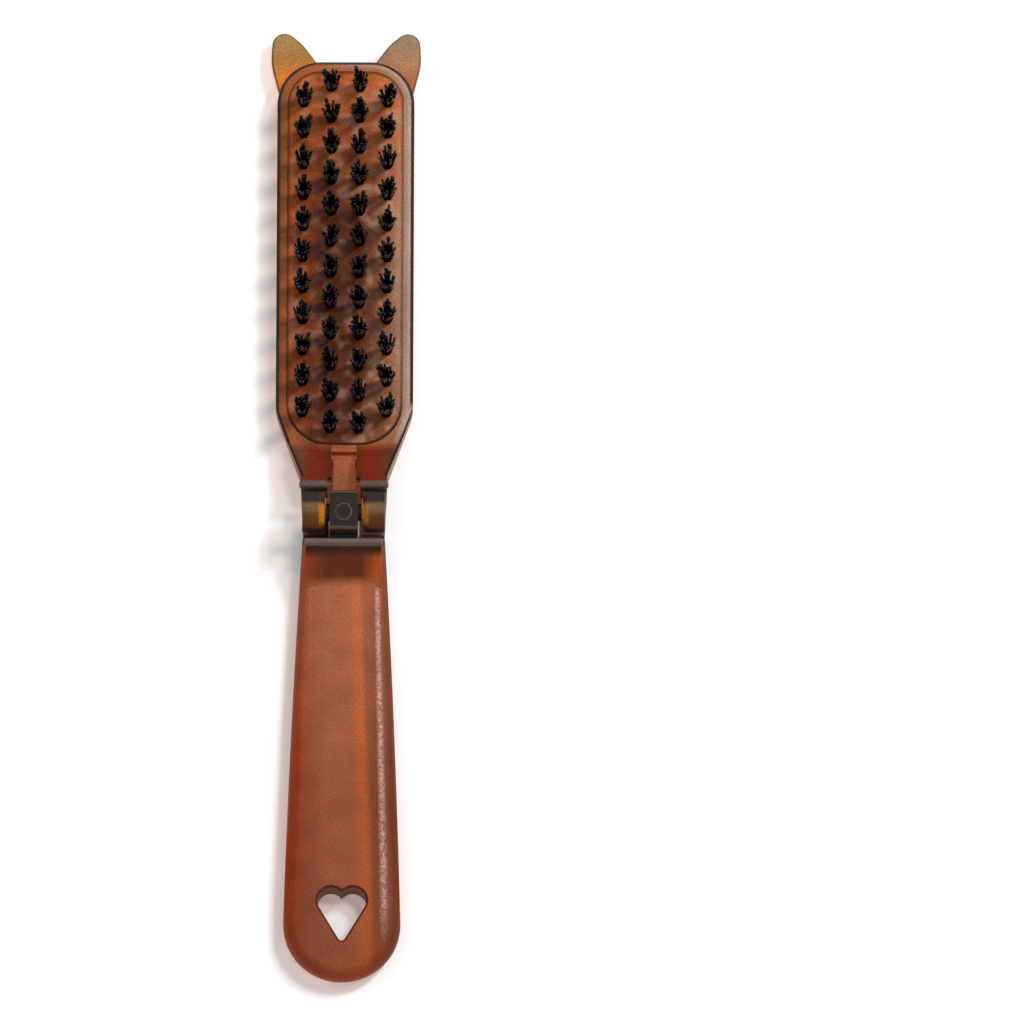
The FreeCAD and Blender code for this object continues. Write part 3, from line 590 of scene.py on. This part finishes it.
def tuft_strands(draw, x, y, floor_z, tip_z, reach, tufts):
    """Centres and radii of one tuft's strands. A strand starts at a point of the root's disc and leans out
    with a power of its height: p(t) = foot + (end - foot) * t^power, z(t) = floor + rise * t. Outer strands
    are longer than inner ones, so the tuft opens as a cup, and one bunch stands longest and leans to the
    head's top."""
    count = tufts.count
    height = tip_z - floor_z
    golden_angle = np.pi * (3 - np.sqrt(5))
    order = np.arange(count)
    spread = np.sqrt((order + 0.5) / count)
    angle = order * golden_angle + draw.uniform(0, 2 * np.pi)
    foot_r = spread * (ROOT_R - tufts.radius)
    most = reach - tufts.radius * tufts.bulb
    end_r = most * np.clip(0.1 + 0.9 * spread + draw.normal(0, 0.08, count), 0, 1)
    end_angle = angle + draw.normal(0, 0.25, count)
    rise = height * np.clip(0.66 + 0.26 * spread + draw.normal(0, 0.05, count), 0.55, 0.97)
    # The bunch: its strands come together at one place near the rim, at the full height
    bunch = slice(0, tufts.bunch)
    heading = np.pi / 2 + draw.normal(0, 0.4)
    end_r[bunch] = most * draw.uniform(1.05, 1.25, tufts.bunch)
    end_angle[bunch] = heading + draw.normal(0, 0.1, tufts.bunch)
    angle[bunch] = heading + draw.normal(0, 0.5, tufts.bunch)
    rise[bunch] = height * draw.uniform(0.93, 1.0, tufts.bunch)
    # Rings from foot to tip: their share of the rise, and their width over the strand's own
    share = np.array([0.0, 0.25, 0.5, 0.72, 0.86, 0.93, 0.97, 1.0])
    width = np.array([1.4, 1.3, 1.1, 1.0, 1.05, tufts.bulb, tufts.bulb * 0.9, tufts.bulb * 0.35])
    lean = share ** LEAN_POWER
    foot = np.stack([foot_r * np.cos(angle), foot_r * np.sin(angle)], axis=1)
    end = np.stack([end_r * np.cos(end_angle), end_r * np.sin(end_angle)], axis=1)
    centres = np.empty((count, len(share), 3))
    centres[:, :, :2] = foot[:, None, :] + lean[None, :, None] * (end - foot)[:, None, :] + np.array([x, y])
    centres[:, :, 2] = floor_z + rise[:, None] * share
    return centres, tufts.radius * np.ones((count, 1)) * width


class BRUSH_OT_head(bpy.types.Operator):
    """Amber head shell with its ears, and the bristle plate set in its rim"""

    bl_idname = "brush.head"
    bl_label = "Head"

    def execute(self, context):
        shell = amber_material("amber_polystyrene_head", head_layers)
        plate = amber_material("amber_polystyrene_plate", plate_layers, smoothest=0.16, roughest=0.28)
        skin("head_shell", "head_moulding", "head", shell, softened=0.25 * MM)
        skin("bristle_plate", "tuft_plate", "head", plate, softened=0.12 * MM)
        return {"FINISHED"}


class BRUSH_OT_handle(bpy.types.Operator):
    """Front and back shells of the handle"""

    bl_idname = "brush.handle"
    bl_label = "Handle"

    def execute(self, context):
        shell = amber_material("amber_polystyrene_handle", handle_layers, smoothest=0.42, roughest=0.58)
        skin("handle_front_shell", "handle_front", "handle", shell, softened=0.2 * MM)
        skin("handle_back_shell", "handle_back", "handle", shell, softened=0.2 * MM)
        return {"FINISHED"}


class BRUSH_OT_hinge(bpy.types.Operator):
    """Knuckle, release button, latch leaf and hinge pin"""

    bl_idname = "brush.hinge"
    bl_label = "Hinge"

    def execute(self, context):
        # The knuckle and button are near black, partly painted shade where they lie deep in the hinge
        dark_shaded = amber_material("dark_shaded_polystyrene", dark_shaded_layers, clear=0.3)
        strip = amber_material("amber_polystyrene_leaf", leaf_layers)
        steel = steel_material("drawn_steel_pin", "8A8A88")
        # A thin apron fills the window in the head's back, and a narrower tongue joins it to the leaf's pad.
        # They are
        #         sheets put where only shade would be seen, so that the floor doesn't show white there, and
        #         they carry the leaf's painted gold light
        apron = (Vector((-3.95 * MM, AXIS.y + 1.85 * MM, PAD_Z)),
                 Vector((3.95 * MM, AXIS.y + 9.05 * MM, PAD_Z + 0.5 * MM)))
        tongue = (Vector((-2.9 * MM, AXIS.y + 1.4 * MM, PAD_Z + 0.05 * MM)),
                  Vector((2.9 * MM, AXIS.y + 2.1 * MM, PAD_Z + 0.45 * MM)))
        skin("knuckle_block", "knuckle", "handle", dark_shaded, softened=0.2 * MM)
        skin("release_button", "button", "release_button", dark_shaded, softened=0.12 * MM)
        skin("latch_leaf", "leaf", "latch_leaf", strip, softened=0.15 * MM,
             added=(apron, tongue))
        skin("hinge_pin", "pin", "head", steel, softened=0.1 * MM)
        return {"FINISHED"}


class BRUSH_OT_tufts(bpy.types.Operator):
    """Rows of nylon tufts, strand by strand, and the wire anchors under them"""

    bl_idname = "brush.tufts"
    bl_label = "Tufts"

    def execute(self, context):
        tufts = context.scene.brush_tufts
        draw = np.random.default_rng(tufts.seed)
        free = nylon_material("nylon_filament", smoothest=0.12, roughest=0.22, level=0.6)
        bound = nylon_material("nylon_filament_bound", smoothest=0.7, roughest=0.8, level=0.0)
        for node in TUFT_ROWS:
            low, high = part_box(node)
            reach = (high.y - low.y) / 2
            column = high.x - reach
            y = (high.y + low.y) / 2
            pair = [tuft_strands(draw, x, y, low.z, high.z, reach, tufts) for x in (-column, column)]
            centres, radii = (np.concatenate(arrays) for arrays in zip(*pair))
            name = node.replace("tuft_row", "bristle_row")
            strands = tubes(name, centres, radii, STRAND_SIDES, BOUND_RINGS)
            link_piece(name, strands, "head", free, node)
            strands.materials.append(bound)
        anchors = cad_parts["tuft_anchors"]
        anchors.data.materials.clear()
        anchors.data.materials.append(steel_material("flat_steel_wire", "7E7E7C"))
        return {"FINISHED"}


class BRUSH_OT_stage(bpy.types.Operator):
    """Pale floor, soft light and the camera"""

    bl_idname = "brush.stage"
    bl_label = "Stage"

    def execute(self, context):
        stage = context.scene.brush_stage
        self.floor(context, stage)
        self.light(context, stage)
        self.camera(context, stage)
        context.scene.view_settings.view_transform = "Standard"
        return {"FINISHED"}

    def floor(self, context, stage):
        """Matt white card. Seen directly, in a gloss or through amber it is a touch brighter than its light
        alone makes it."""
        half = 1.5
        brighter = 0.05
        mesh = bpy.data.meshes.new("floor")
        corners = [(-half, -half, 0), (half, -half, 0), (half, half, 0), (-half, half, 0)]
        mesh.from_pydata(corners, [], [(0, 1, 2, 3)])
        floor = bpy.data.objects.new("floor", mesh)
        context.scene.collection.objects.link(floor)
        material, node = new_material("white_card")
        shade = node("BsdfDiffuse", stage.floor)[0]
        glow = node("Emission", stage.floor, brighter)[0]
        path = node("LightPath")
        seen = node("Math", path["Is Camera Ray"], path["Is Glossy Ray"], operation="MAXIMUM")[0]
        seen = node("Math", seen, path["Is Transmission Ray"], operation="MAXIMUM")[0]
        node("OutputMaterial", node("MixShader", seen, shade, node("AddShader", shade, glow)[0])[0])
        mesh.materials.append(material)

    def light(self, context, stage):
        """White light that is stronger overhead than at the horizon, and one small soft lamp from the upper
        right, a metre away."""
        horizon, overhead = 0.45 * stage.ambient, 1.3 * stage.ambient
        world = bpy.data.worlds.new("even_light")
        world.use_nodes = True
        world.node_tree.nodes.clear()
        node = functools.partial(add_node, world.node_tree)
        height = node("SeparateXYZ", node("TexCoord")["Generated"])[2]
        level = node("MapRange", height, 0.0, 1.0, horizon, overhead)[0]
        node("OutputWorld", node("Background", (1, 1, 1, 1), level)[0])
        context.scene.world = world
        lamp = bpy.data.lights.new("key", "AREA")
        lamp.energy = stage.key
        lamp.size = 0.16
        key = bpy.data.objects.new("key", lamp)
        context.scene.collection.objects.link(key)
        towards = Vector((0.56, 0.42, 1.0)).normalized()
        key.location = towards
        key.rotation_euler = towards.to_track_quat("Z", "Y").to_euler()

    def camera(self, context, stage):
        """Long lens, so far away that the picture is as wide at the brush as its setting says."""
        lens = bpy.data.cameras.new("camera")
        lens.sensor_width = 36.0
        lens.lens = 800.0
        lens.clip_start = 0.05
        lens.clip_end = 20.0
        away = stage.frame_width * lens.lens / lens.sensor_width
        back = Vector((0, -math.cos(stage.elevation), math.sin(stage.elevation)))
        aim = Vector((stage.aside, AXIS.y + 1.4 * MM, FACE_Z))
        camera = bpy.data.objects.new("camera", lens)
        camera.location = aim + back * away
        turned = back.to_track_quat("Z", "Y").to_matrix() @ Matrix.Rotation(stage.roll, 3, "Z")
        camera.rotation_euler = turned.to_euler()
        context.scene.collection.objects.link(camera)
        context.scene.camera = camera


class BRUSH_PT_panel(bpy.types.Panel):
    """Lists the brush's settings and the operators of its pieces"""

    bl_idname = "BRUSH_PT_panel"
    bl_label = "Folding brush"
    bl_space_type = "VIEW_3D"
    bl_region_type = "UI"
    bl_category = "Brush"

    def draw(self, context):
        for name, group in GROUPS.items():
            box = self.layout.box()
            for prop in group.__annotations__:
                box.prop(getattr(context.scene, name), prop)
        for operator in OPERATORS:
            self.layout.operator(operator.bl_idname)


GROUPS = {"brush_amber": AmberProperties, "brush_tufts": TuftProperties, "brush_stage": StageProperties}
OPERATORS = (BRUSH_OT_head, BRUSH_OT_handle, BRUSH_OT_hinge, BRUSH_OT_tufts, BRUSH_OT_stage)


def register():
    for name, group in GROUPS.items():
        bpy.utils.register_class(group)
        setattr(bpy.types.Scene, name, bpy.props.PointerProperty(type=group))
    for cls in (*OPERATORS, BRUSH_PT_panel):
        bpy.utils.register_class(cls)


def unregister():
    for cls in (BRUSH_PT_panel, *reversed(OPERATORS)):
        bpy.utils.unregister_class(cls)
    for name, group in GROUPS.items():
        delattr(bpy.types.Scene, name)
        bpy.utils.unregister_class(group)


def main():
    register()
    bpy.ops.brush.head()
    bpy.ops.brush.handle()
    bpy.ops.brush.hinge()
    bpy.ops.brush.tufts()
    bpy.ops.brush.stage()


if __name__ == "__main__":
    main()
